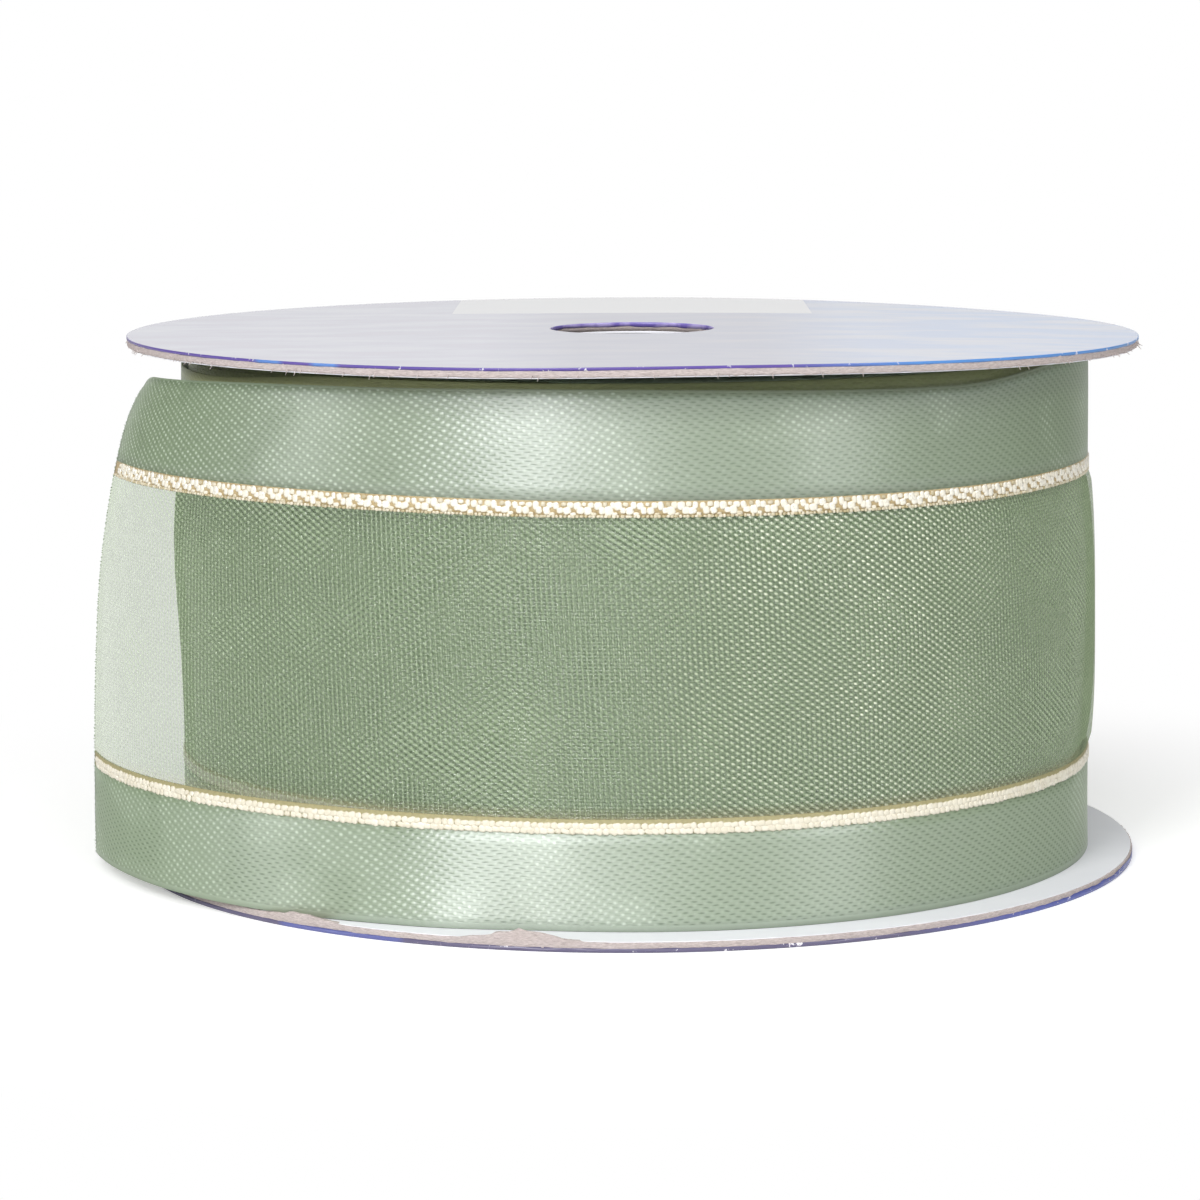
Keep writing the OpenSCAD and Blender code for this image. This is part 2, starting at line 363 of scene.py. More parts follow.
bm = spun_layer(layer_section(board_low, board_high, disc_r, 0.08 * MM))
for vert in bm.verts:
    out = vert.co.xy.length
    if out > disc_r - 1.2 * MM:
        rough = noise.fractal(vert.co / (0.9 * MM), 1.0, 2.0, 4)
        top = (vert.co.z - board_low) / (board_high - board_low)
        at_rim = min(1.0, (out - disc_r + 1.2 * MM) / (0.8 * MM))
        vert.co.z += top * at_rim * (torn_up(vert.co) * (1 + 0.3 * rough) + 0.06 * MM * max(rough, 0.0))
        if out > disc_r - 0.3 * MM:
            vert.co.xy *= 1 + 0.05 * MM * rough / disc_r
lower_board = finish_piece("lower_disc_board", bm, greyboard)
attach(lower_board, "spool")
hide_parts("lower_board")

bm = spun_layer(layer_section(liner_low, liner_high, disc_r - 0.12 * MM, 0.02 * MM))
lower_liner = finish_piece("lower_disc_liner", bm, liner_paper)
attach(lower_liner, "spool")
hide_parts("lower_liner")

# Core
# A tube of spiral-wound brown paperboard stands between the discs, with a bead of hot-melt glue at each
# end. A strip of cream paper tape holds the ribbon's inner end to it.

# Spiral-wound paperboard: brown kraft strip, matt, with the slanting joint of each wrap
core_board, tree = new_material("spiral-wound paperboard")
wrap_w = 32 * MM
where = add(tree, "TexCoord").outputs["Object"]
axes = add(tree, "SeparateXYZ", [where])
round_it = add(tree, "Math ARCTAN2", [axes.outputs["Y"], axes.outputs["X"]])
climb = add(tree, "Math MULTIPLY", [round_it, wrap_w / (2 * math.pi)])
along = add(tree, "Math ADD", [axes.outputs["Z"], climb])
joint = add(tree, "Math PINGPONG", [along, wrap_w / 2])
joint = add(tree, "MapRange", {"Value": joint, "From Max": 0.5 * MM})
grain = add(tree, "TexNoise", {"Vector": where, "Scale": 1 / (0.6 * MM), "Detail": 5.0})
kraft = add(tree, "Mix", {0: grain, 6: "8f7a5e", 7: "bfa987"}, data_type="RGBA")
kraft = add(tree, "Mix", {0: joint, 6: "6f5c44", 7: kraft}, data_type="RGBA")
relief = add(tree, "Bump", {"Height": grain, "Strength": 0.4, "Distance": 0.05 * MM})
finish_material(tree, {"Base Color": kraft, "Roughness": 0.85, "Normal": relief})

# Hot-melt glue: cloudy set resin, waxy and a little uneven
glue, tree = new_material("hot-melt glue")
where = add(tree, "TexCoord").outputs["Object"]
cloud = add(tree, "TexNoise", {"Vector": where, "Scale": 1 / (1.5 * MM), "Detail": 3.0})
amber = add(tree, "Mix", {0: cloud, 6: "d8c894", 7: "efe6c8"}, data_type="RGBA")
relief = add(tree, "Bump", {"Height": cloud, "Strength": 0.5, "Distance": 0.3 * MM})
finish_material(tree, {
    "Base Color": amber, "Roughness": 0.3, "IOR": 1.48, "Subsurface Weight": 0.3,
    "Subsurface Radius": (1 * MM, 0.8 * MM, 0.4 * MM), "Normal": relief,
})

# Paper tape: creped cream paper, with fine ridges across its length
tape_paper, tree = new_material("creped paper tape")
where = add(tree, "TexCoord").outputs["Object"]
ridges = add(tree, "Mapping", {"Vector": where, "Scale": (1.0, 1.0, 0.15)})
crepe = add(tree, "TexNoise", {"Vector": ridges, "Scale": 1 / (0.4 * MM)})
cream = add(tree, "Mix", {0: crepe, 6: "cfc8b0", 7: "e8e3d2"}, data_type="RGBA")
relief = add(tree, "Bump", {"Height": crepe, "Strength": 0.5, "Distance": 0.05 * MM})
finish_material(tree, {"Base Color": cream, "Roughness": 0.75, "Normal": relief})

for node_name, finish in (
    ("core_tube", core_board), ("start_tape", tape_paper),
    ("lower_glue_bead", glue), ("upper_glue_bead", glue),
):
    mesh = frame["nodes"][node_name].data
    mesh.materials.clear()
    mesh.materials.append(finish)

# Ribbon on the roll
# One woven band: satin borders of close warp floats, a metallic cord along each, and a sheer organza middle.
# It is wound clockwise on the tube, seen from above. The inner turns are drawn as one plain satin spiral.
ribbon_t = 0.2 * MM
turn_pitch = 0.62 * MM
outer_turns = 3
inner_wraps = 11
root_angle = 10
tail_sweep = 70
tail_flare = 7.6 * MM
flare_peak = 85
flare_lean = 0.66
lean_power = 3
tail_drop = 1.6 * MM
drop_power = 8
tail_rise = 0.6 * MM
roll_flare = 0.42 * MM
corner_round = 1.0 * MM
layer_step = 0.45 * MM
edge_drop, front_drop = 0.95 * MM, 0.35 * MM
edge_spring = 0.8 * MM
organza_puff = 0.6 * MM
left_puff = 0.9 * MM
ripple_h = 0.1 * MM

ribbon_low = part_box("wound_lower_satin")[0].z
ribbon_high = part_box("wound_upper_satin")[1].z
ribbon_w = ribbon_high - ribbon_low
lower_cord_span = [corner.z - ribbon_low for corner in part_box("wound_lower_gold")]
upper_cord_span = [corner.z - ribbon_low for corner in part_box("wound_upper_gold")]
core_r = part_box("inner_turns")[1].x - (inner_wraps - 1) * turn_pitch - ribbon_t
outer_r = core_r + inner_wraps * turn_pitch
roll_end = 360 * outer_turns
ribbon_end = roll_end + tail_sweep
last_half_turn = roll_end - 180
winding = Matrix.Rotation(math.radians(-90 - root_angle), 4, "Z") @ Matrix.Scale(-1, 4, (0, 1, 0))


def ribbon_point(turned, height):
    """Middle of the ribbon's thickness after so many degrees of the outer layer, at a height above its
    lower edge. Under the loose turn the upper edges stand a little lower, layer by layer, and at the front
    and right the outer turn's does. Past the roll's end it springs off, most at its lower edge, and sinks
    at its upper one. Its end is cut ragged, with the upper corner rounded."""
    loose = turned - roll_end
    shift = 0.0
    rise = height
    up = height / ribbon_w
    if loose <= 0:
        half = min(math.floor(turned / 180), 2 * outer_turns - 1)
        radius = outer_r + half * turn_pitch / 2 + roll_flare * (1 - up)
        shift = half % 2 * turn_pitch / 2
        sheer = (height - lower_cord_span[1]) / (upper_cord_span[0] - lower_cord_span[1])
        slack = ease((turned - 180) % 360 / 40) * ease((180 - (turned - 180) % 360) / 70)
        slack *= organza_puff
        if turned > roll_end - 360:
            puff = left_puff * ease((turned - roll_end + 340) / 50)
            slack += puff * ease((last_half_turn - turned) / 60) * ease(sheer)
        nested = (turn_pitch - 0.05 * MM) * ease((roll_end - 360 - turned) / 15)
        under = ease((turned % 360 - 25) / 30) * ease((180 - turned % 360) / 40)
        rise -= layer_step * (turned // 360) * under * up ** 8
        if turned > last_half_turn:
            dip = front_drop + (edge_drop - front_drop) * ease((-loose - 5) / 50)
            rise -= dip * ease((76 + loose) / 25) * up ** 8
        radius += (slack + nested) * math.sin(math.pi * min(max(sheer, 0.0), 1.0)) ** 0.35
    else:
        share = (1 - math.cos(math.pi * loose / flare_peak)) / 2
        radius = outer_r + outer_turns * turn_pitch + roll_flare * (1 - up) * (1 - share)
        radius += tail_flare * share * (1 - flare_lean * up ** lean_power)
        spring = edge_spring * (1 - min(max(up, 0.0), 1.0)) ** 6
        radius += spring * ease(loose / 14) * ease((tail_sweep - loose) / 45)
        rise += tail_rise * math.sqrt(share) * up * (1 - up ** 6) - tail_drop * share * up ** drop_power
        rounded = corner_round * up ** 10 * max(0.0, 1 - (tail_sweep - loose) / 8) ** 2
        rise -= rounded + 0.6 * share * min(height, 0.0)
        rise -= front_drop * ease((45 - loose) / 35) * up ** 8
        cut = 0.2 * MM * noise.noise(Vector((0.3, height / (1.1 * MM), 8.1)))
        turned -= math.degrees(cut / radius) * (loose / tail_sweep) ** 12
    angle = math.radians(turned)
    place = Vector((4 * math.cos(angle), 4 * math.sin(angle), 3.7 + height / (9 * MM)))
    radius += ribbon_t / 2 + noise.noise(place) * ripple_h
    flat = winding @ Vector((shift + radius * math.cos(angle), radius * math.sin(angle), 0))
    return Vector((flat.x, flat.y, ribbon_low + rise))


def inner_point(turned, height):
    """The same for the inner turns, which are one even spiral from the tube out."""
    angle = math.radians(turned)
    radius = core_r + turned / 360 * turn_pitch + ribbon_t / 2
    flat = winding @ Vector((radius * math.cos(angle), radius * math.sin(angle), 0))
    return Vector((flat.x, flat.y, ribbon_low + height))


def lengths_along(path, end):
    """Length of the ribbon from its start, at every degree, along the middle of its width."""
    points = [path(turned, ribbon_w / 2) for turned in range(end + 1)]
    total = [0.0]
    for a, b in zip(points, points[1:]):
        total.append(total[-1] + (b - a).length)
    return total


def length_at(total, turned):
    """Length from the start, between the whole degrees."""
    step = min(int(turned), len(total) - 2)
    return total[step] + (turned - step) * (total[step + 1] - total[step])


roll_lengths = lengths_along(ribbon_point, ribbon_end)
inner_lengths = lengths_along(inner_point, 360 * inner_wraps)


def ribbon_band(path, total, span, start, end, step, rows, thickness=0.0):
    """A band of the ribbon between two heights and two angles. Its UV map is real length, increasing to the
    right as seen from outside, and real height, so a weave keeps its scale."""
    bm = bmesh.new()
    bmesh.ops.create_grid(bm, x_segments=round((end - start) / step), y_segments=rows, size=0.5)
    long, wide = end - start, span[1] - span[0]
    place = {v: (start + (v.co.x + 0.5) * long, span[0] + (v.co.y + 0.5) * wide) for v in bm.verts}
    cloth = bm.loops.layers.uv.new("cloth")
    for face in bm.faces:
        for loop in face.loops:
            turned, height = place[loop.vert]
            loop[cloth].uv = (-length_at(total, turned), height)
    for vert, (turned, height) in place.items():
        vert.co = path(turned, height)
    bmesh.ops.reverse_faces(bm, faces=bm.faces)
    if thickness:
        bmesh.ops.solidify(bm, geom=bm.faces[:], thickness=thickness)
    return bm


# Satin: bright polyester warp floats in slanting rows. Each float's bowed middle carries a light dot, a
# painted glint, and between its ends and the next, where the weft ties it down, lies a dark dash of painted
# shade in the dip. In patches the painted glints show more, mostly to the left on the lamps' side, and
# elsewhere the dashes. The sheen runs in upright bands, because every float lies along the ribbon. Loops
# along the edge close the weave. The lower border is painted a shade lighter, as bounce light from the
# table. The upper edges of turns under the free end are painted olive, as shade in the gap under the disc,
# and paler at the left as painted light; the top edge of the outer turn at the front and right has painted
# shade of the disc
satin, tree = new_material("polyester satin")
row_pitch, row_angle = 0.528 * MM, math.radians(60.1)
cross_pitch, cross_angle = 0.478 * MM, math.radians(-38.2)
dot_l, dot_w = 0.40 * MM, 0.28 * MM
dash_l, dash_w = 0.58 * MM, 0.18 * MM
loop_pitch, loop_w = 0.66 * MM, 0.20 * MM
place = add(tree, "UVMap", uv_map="cloth")
shake = add(tree, "TexNoise", {"Vector": place, "Scale": 1 / (1.3 * MM), "Detail": 2.0})
shake = add(tree, "VectorMath SUBTRACT", [shake.outputs["Color"], (0.5, 0.5, 0.5)])
shake = add(tree, "VectorMath SCALE", {0: shake, "Scale": 0.25 * MM})
woven = add(tree, "VectorMath ADD", [place, shake])
rows = Matrix((
    (math.cos(row_angle) / row_pitch, math.sin(row_angle) / row_pitch),
    (math.cos(cross_angle) / cross_pitch, math.sin(cross_angle) / cross_pitch),
))
steps = rows.inverted().transposed()
counts = [
    add(tree, "VectorMath DOT_PRODUCT", [woven, (row.x, row.y, 0.0)]) for row in rows
]
spots = []
for first, long, wide in ((0.0, dot_l, dot_w), (0.5, dash_l, dash_w)):
    parts = []
    for count, step in zip(counts, steps):
        part = add(tree, "Math FRACT", [add(tree, "Math ADD", [count, first])])
        part = add(tree, "Math SUBTRACT", [part, 0.5])
        parts.append(add(tree, "VectorMath SCALE", {0: (step.x, step.y, 0.0), "Scale": part}))
    out_by = add(tree, "VectorMath ADD", [parts[0], parts[1]])
    out_by = add(tree, "VectorMath MULTIPLY", [out_by, (2 / long, 2 / wide, 0.0)])
    out_by = add(tree, "VectorMath LENGTH", [out_by])
    spots.append(add(tree, "MapRange", {
        "Value": out_by, "From Min": 0.1, "From Max": 1.2, "To Min": 1.0, "To Max": 0.0,
    }, interpolation_type="SMOOTHSTEP"))
bow_and_painted_glint, dip_and_painted_shade = spots
whole = [add(tree, "Math FLOOR", [count]) for count in counts]
floats = add(tree, "Math SUBTRACT", [bow_and_painted_glint, dip_and_painted_shade])
each = add(tree, "CombineXYZ", [whole[0], whole[1]])
chance = add(tree, "TexWhiteNoise", {"Vector": each}, noise_dimensions="2D")
axes = add(tree, "SeparateXYZ", [place])
other_edge = add(tree, "Math SUBTRACT", [ribbon_w, axes.outputs["Y"]])
from_edge = add(tree, "Math MINIMUM", [axes.outputs["Y"], other_edge])
at_edge = add(tree, "MapRange", {
    "Value": from_edge, "From Min": 0.8 * loop_w, "From Max": loop_w, "To Min": 1.0, "To Max": 0.0,
})
loops = add(tree, "Math PINGPONG", [axes.outputs["X"], loop_pitch / 2])
loops = add(tree, "MapRange", {"Value": loops, "From Max": loop_pitch / 2})
floats = add(tree, "Mix", {0: at_edge, 2: floats, 3: loops}, data_type="FLOAT")
inside = add(tree, "Math SUBTRACT", [1.0, at_edge])
from_root = add(tree, "Math ADD", [axes.outputs["X"], length_at(roll_lengths, roll_end)])
# Painted glints lean to the left, on the lamps' side, and the painted dashes of shade to the right.
lamp_side_bias = add(tree, "MapRange", {
    "Value": from_root, "From Min": -20 * MM, "From Max": 20 * MM, "To Min": 0.12, "To Max": -0.12,
})
patchy = add(tree, "TexNoise", {"Vector": place, "Scale": 1 / (7 * MM), "Detail": 1.0})
patchy = add(tree, "Math ADD", [patchy, lamp_side_bias])
patchy = add(tree, "MapRange", {
    "Value": patchy, "From Min": 0.42, "From Max": 0.6,
}, interpolation_type="SMOOTHSTEP")
fewer = add(tree, "MapRange", {"Value": patchy, "To Min": 1.0, "To Max": 0.3})
more = add(tree, "MapRange", {"Value": patchy, "To Min": 0.2, "To Max": 1.0})
for share in (inside, fewer):
    dip_and_painted_shade = add(tree, "Math MULTIPLY", [dip_and_painted_shade, share])
for share in (inside, more):
    bow_and_painted_glint = add(tree, "Math MULTIPLY", [bow_and_painted_glint, share])
# The lower border is painted lighter, as bounce light from the white table below.
lower_border_bounce = add(tree, "Math LESS_THAN", [axes.outputs["Y"], ribbon_w / 2])
sage = add(tree, "Mix", {0: lower_border_bounce, 6: "728562", 7: "829574"}, data_type="RGBA")
# The dark dash is painted shade in the dip where the weft ties each float down.
sage = add(tree, "Mix", {0: dip_and_painted_shade, 6: sage, 7: "5c7050"}, data_type="RGBA")
# The light dot is a painted glint of the lamps on each float's bow, its strength drawn per float.
some = add(tree, "MapRange", {"Value": chance, "To Min": 0.4})
bow_and_painted_glint = add(tree, "Math MULTIPLY", [bow_and_painted_glint, some])
sage = add(tree, "Mix", {0: bow_and_painted_glint, 6: sage, 7: "c0cfb8"}, data_type="RGBA")
some = add(tree, "Math MULTIPLY", [at_edge, 0.5])
sage = add(tree, "Mix", {0: some, 6: sage, 7: "a9ba9e"}, data_type="RGBA")
# Upper edges of turns under the free end: painted olive as shade in the gap under the disc,
covered = add(tree, "MapRange", {
    # and paler at the left as painted light reaching in.
    "Value": axes.outputs["X"], "From Min": -length_at(roll_lengths, roll_end - 360 + tail_sweep + 10),
    "From Max": -length_at(roll_lengths, roll_end - 360 + tail_sweep - 10),
})
painted_gap_mask = add(tree, "MapRange", {
    "Value": other_edge, "From Min": 0.8 * MM, "From Max": 1.6 * MM, "To Min": 0.9, "To Max": 0.0,
})
painted_gap_mask = add(tree, "Math MULTIPLY", [painted_gap_mask, covered])
at_root = -length_at(roll_lengths, roll_end - 360)
painted_light_left = add(tree, "MapRange", {
    "Value": axes.outputs["X"], "From Min": at_root - 6 * MM, "From Max": at_root + 12 * MM,
    "To Min": 1.0, "To Max": 0.0,
})
edge = add(tree, "Mix", {0: painted_light_left, 6: "7a8054", 7: "b0b480"}, data_type="RGBA")
sage = add(tree, "Mix", {0: painted_gap_mask, 6: sage, 7: edge}, data_type="RGBA")
# Painted shade of the disc along the top edge of the outer turn, at the front and right.
shaded = add(tree, "MapRange", {"Value": other_edge, "From Max": 0.6 * MM, "To Min": 0.6, "To Max": 0.0})
tucked = add(tree, "MapRange", {"Value": from_root, "From Min": -30 * MM, "From Max": -12 * MM})
shaded = add(tree, "Math MULTIPLY", [shaded, tucked])
sage = add(tree, "Mix", {0: shaded, 6: sage, 7: "5f6440"}, data_type="RGBA")
low_angle = add(tree, "LayerWeight", {"Blend": 0.5}).outputs["Facing"]
sheen = add(tree, "MapRange", {
    "Value": low_angle, "From Min": 0.3, "From Max": 0.8, "To Min": 1.0, "To Max": 0.3,
})
for dulled in (
    {"Value": other_edge, "From Max": 0.8 * MM, "To Min": 0.35},
    {"Value": dip_and_painted_shade, "To Min": 1.0, "To Max": 0.7},
    {"Value": painted_gap_mask, "To Min": 1.0, "To Max": 0.15},
):
    sheen = add(tree, "Math MULTIPLY", [sheen, add(tree, "MapRange", dulled)])
relief = add(tree, "Bump", {"Height": floats, "Strength": 1.0, "Distance": 0.012 * MM})
lie = add(tree, "Tangent", direction_type="UV_MAP", uv_map="cloth")
finish_material(tree, {
    "Base Color": sage, "Roughness": 0.47, "IOR": 2.3, "Specular IOR Level": sheen, "Normal": relief,
    "Specular Tint": "f0f0f6", "Anisotropic": 0.9, "Anisotropic Rotation": 0.25, "Tangent": lie,
})


def painted_glint_zone(tree, place):
    """Where the organza carries painted glints: fully so at the front right, and less away from there."""
    away = add(tree, "Math SUBTRACT", [add(tree, "SeparateXYZ", [place]), glints_at])
    away = add(tree, "Math ABSOLUTE", [away])
    return add(tree, "MapRange", {
        "Value": away, "From Min": 6 * MM, "From Max": 20 * MM, "To Min": 1.0, "To Max": 0.15,
    }, interpolation_type="SMOOTHSTEP")


def plain_weave(tree, place, thread_share):
    """Rounded height of a plain weave, from the cloth's real length and height, how much thread lies there,
    where the wefts' knuckles are, and a chance value for each crossing. The product of the two sine waves
    is positive where the upright weft lies over the warp. In patches the wefts show as upright lines.
    Elsewhere, and in the zone of painted glints, the knuckles join up into slanting rows."""
    axes = add(tree, "SeparateXYZ", [place])
    leant = add(tree, "Math MULTIPLY_ADD", [axes.outputs["Y"], weft_skew, axes.outputs["X"]])
    rounds, sines, wholes, counts = [], [], [], []
    for along, spacing in ((leant, weft_pitch), (axes.outputs["Y"], warp_pitch)):
        count = add(tree, "Math DIVIDE", [along, spacing])
        counts.append(count)
        wholes.append(add(tree, "Math FLOOR", [count]))
        near = add(tree, "Math PINGPONG", [count, 0.5])
        rounds.append(add(tree, "MapRange", {
            "Value": near, "From Min": 0.5 - thread_share / 2, "From Max": 0.5,
        }, interpolation_type="SMOOTHSTEP"))
        angle = add(tree, "Math MULTIPLY", [count, math.pi])
        sines.append(add(tree, "Math SINE", [angle]))
    over = add(tree, "Math MULTIPLY", [sines[0], sines[1]])
    weft_rise = add(tree, "MapRange", {"Value": over, "From Min": -1.0, "To Min": 0.15, "To Max": 1.0})
    warp_rise = add(tree, "MapRange", {"Value": over, "From Min": -1.0, "To Min": 1.0, "To Max": 0.15})
    weft = add(tree, "Math MULTIPLY", [rounds[0], weft_rise])
    warp = add(tree, "Math MULTIPLY", [rounds[1], warp_rise])
    crest = add(tree, "Math MAXIMUM", [weft, warp])
    lit = add(tree, "Math MULTIPLY", [crest, 0.6])
    upright = add(tree, "Math MULTIPLY_ADD", [rounds[0], 0.4, lit])
    slant = add(tree, "Math ADD", [counts[0], counts[1]])
    slant = add(tree, "Math COSINE", [add(tree, "Math MULTIPLY", [slant, math.pi])])
    slant = add(tree, "Math MULTIPLY", [slant, -0.3])
    knuckle = add(tree, "Math MULTIPLY_ADD", [over, 0.7, slant])
    slanting = add(tree, "MapRange", {"Value": knuckle, "From Min": -0.8, "From Max": 0.9})
    patchy = add(tree, "TexNoise", {"Vector": place, "Scale": 1 / (9 * MM), "Detail": 1.0})
    patchy = add(tree, "MapRange", {
        "Value": patchy, "From Min": 0.36, "From Max": 0.72,
    }, interpolation_type="SMOOTHSTEP")
    patchy = add(tree, "Math MAXIMUM", [patchy, painted_glint_zone(tree, place)])
    cover = add(tree, "Mix", {0: patchy, 2: upright, 3: slanting}, data_type="FLOAT")
    crossing = add(tree, "CombineXYZ", [wholes[0], wholes[1]])
    return crest, cover, knuckle, add(tree, "TexWhiteNoise", {"Vector": crossing}, noise_dimensions="2D")


def filament(tree, place, crest, chance, colour, roughness, **more):
    """A glossy nylon body. Each crossing of the weave leans its own way, so here and there one glints, less
    so at a low angle. Along its lower edge, just above the lower cord, an olive-brown band is painted shade."""
    axes = add(tree, "SeparateXYZ", [place])
    above_cord = add(tree, "Math SUBTRACT", [axes.outputs["Y"], lower_cord_span[1]])
    # Painted shade: a darker olive-brown band just above the lower cord.
    cord_shade_band = add(tree, "MapRange", {"Value": above_cord, "From Max": 0.9 * MM, "To Min": 0.55, "To Max": 0.0})
    colour = add(tree, "Mix", {0: cord_shade_band, 6: colour, 7: "8d865e"}, data_type="RGBA")
    relief = add(tree, "Bump", {"Height": crest, "Strength": 1.0, "Distance": 0.05 * MM})
    lean = add(tree, "VectorMath SUBTRACT", [chance.outputs["Color"], (0.5, 0.5, 0.5)])
    lean = add(tree, "VectorMath MULTIPLY_ADD", [lean, (0.25, 0.25, 0.25), relief])
    lean = add(tree, "VectorMath NORMALIZE", [lean])
    low_angle = add(tree, "LayerWeight", {"Blend": 0.5}).outputs["Facing"]
    gloss = add(tree, "MapRange", {
        "Value": low_angle, "From Min": 0.35, "From Max": 0.8, "To Min": 0.5, "To Max": 0.0,
    })
    finish_material(tree, {
        "Base Color": colour, "Roughness": roughness, "IOR": 2.0, "Specular IOR Level": gloss,
        "Normal": lean, "Sheen Weight": 1.0, "Sheen Roughness": 0.5, "Sheen Tint": "c4d4b2", **more,
    })


# Organza: crisp nylon monofilament in an open plain weave, whose crossings glint. One layer is a light veil
# with gaps between its threads; layers on the roll add up to a full green, and drift in and out of step as
# moire. At the front right, round glints_at, the wefts' knuckles carry painted glints as bright dots
weft_pitch, warp_pitch = 0.394 * MM, 0.260 * MM
weft_skew = 0.053
glints_at = -length_at(roll_lengths, roll_end - 36)
organza, tree = new_material("nylon organza")
place = add(tree, "UVMap", uv_map="cloth")
crest, cover, knuckle, chance = plain_weave(tree, place, 0.7)
veil = add(tree, "Mix", {0: cover, 6: "4c613e", 7: "9cb08b"}, data_type="RGBA")
full = add(tree, "Mix", {0: cover, 6: "465e3a", 7: "aac098"}, data_type="RGBA")
joined = -length_at(roll_lengths, last_half_turn)
joined = add(tree, "MapRange", {
    "Value": add(tree, "SeparateXYZ", [place]), "From Min": joined - 30 * MM, "From Max": joined,
})
veil = add(tree, "Mix", {0: joined, 6: veil, 7: full}, data_type="RGBA")
haze = add(tree, "MapRange", {"Value": cover, "To Min": 0.43, "To Max": 0.74})
haze = add(tree, "Math MAXIMUM", [haze, joined])
patchy = add(tree, "TexNoise", {"Vector": place, "Scale": 1 / (8 * MM), "Detail": 2.0})
patchy = add(tree, "MapRange", {"Value": patchy, "From Min": 0.35, "From Max": 0.6, "To Min": 0.6})
some = add(tree, "MapRange", {"Value": chance, "To Min": 0.55})
# Painted glints: bright dots on the wefts' knuckles, strongest at the front right.
painted_glints = add(tree, "MapRange", {
    "Value": knuckle, "From Min": 0.25, "From Max": 0.8,
}, interpolation_type="SMOOTHSTEP")
for share in (painted_glint_zone(tree, place), patchy, some):
    painted_glints = add(tree, "Math MULTIPLY", [painted_glints, share])
veil = add(tree, "Mix", {0: painted_glints, 6: veil, 7: "eef0dc"}, data_type="RGBA")
haze = add(tree, "Math MAXIMUM", [haze, painted_glints])
filament(tree, place, crest, chance, veil, 0.22, Alpha=haze)

close_organza, tree = new_material("nylon organza in many layers")
place = add(tree, "UVMap", uv_map="cloth")
drift = add(tree, "TexNoise", {"Vector": place, "Scale": 1 / (16 * MM), "Detail": 2.0})
drift = add(tree, "VectorMath SUBTRACT", [drift.outputs["Color"], (0.5, 0.5, 0.5)])
drift = add(tree, "VectorMath SCALE", {0: drift, "Scale": 1.8 * MM})
eased = add(tree, "VectorMath ADD", [place, drift])
crest, cover, knuckle, chance = plain_weave(tree, eased, 0.7)
depth = add(tree, "Mix", {0: cover, 6: "465e3a", 7: "aac098"}, data_type="RGBA")
filament(tree, place, crest, chance, depth, 0.28)

# Metallised yarn: flat film strips with a pale gold lacquer, lying in short floats over a core yarn. Each
# float's drawn shade runs from tan to near white and more metallic, partly the film's own tone and partly
# painted glint, so the upper cord's best floats flash white, with the brown core between them. The lower
# one is a duller cream over olive
gold_film, tree = new_material("metallised film yarn")
where = add(tree, "TexCoord").outputs["Object"]
shine = add(tree, "Attribute", attribute_name="float_shade").outputs["Fac"]
# Shine makes a float whiter and more metallic: partly the film's own tone, partly painted glint.
lacquer = add(tree, "Mix", {0: shine, 6: "aa9a6c", 7: "f8f4e8"}, data_type="RGBA")
film = add(tree, "MapRange", {"Value": shine, "From Min": 0.7, "To Max": 0.4})
crinkle = add(tree, "TexNoise", {"Vector": where, "Scale": 1 / (0.25 * MM), "Detail": 3.0})
dull = add(tree, "MapRange", {"Value": crinkle, "To Min": 0.15, "To Max": 0.45})
relief = add(tree, "Bump", {"Height": crinkle, "Strength": 0.4, "Distance": 0.06 * MM})
finish_material(tree, {
    "Base Color": lacquer, "Metallic": film, "Roughness": dull, "Normal": relief,
})

core_yarn, tree = new_material("twisted core yarn")
where = add(tree, "TexCoord").outputs["Object"]
twist = add(tree, "TexNoise", {"Vector": where, "Scale": 1 / (0.2 * MM), "Detail": 3.0})
brown = add(tree, "Mix", {0: twist, 6: "957f57", 7: "d0bd94"}, data_type="RGBA")
olive = add(tree, "Mix", {0: twist, 6: "8c8660", 7: "b4ab80"}, data_type="RGBA")
axes = add(tree, "SeparateXYZ", [where])
low_down = add(tree, "Math LESS_THAN", [axes.outputs["Z"], 20 * MM])
brown = add(tree, "Mix", {0: low_down, 6: brown, 7: olive}, data_type="RGBA")
relief = add(tree, "Bump", {"Height": twist, "Strength": 0.5, "Distance": 0.05 * MM})
finish_material(tree, {"Base Color": brown, "Roughness": 0.55, "Normal": relief})

satin_t = 0.14 * MM
cord_t = 0.14 * MM
float_d = 0.20 * MM
bend_step = 1.25
seen_from = roll_end - 350

bm = bmesh.new()
bmesh.ops.create_cube(bm, size=1.0)
bmesh.ops.bevel(bm, geom=bm.edges[:], offset=0.24, affect="EDGES", segments=1, profile=0.5, material=-1)
bm.verts.layers.float.new("float_shade")
one_float = bpy.data.meshes.new("film_float")
bm.to_mesh(one_float)
bm.free()


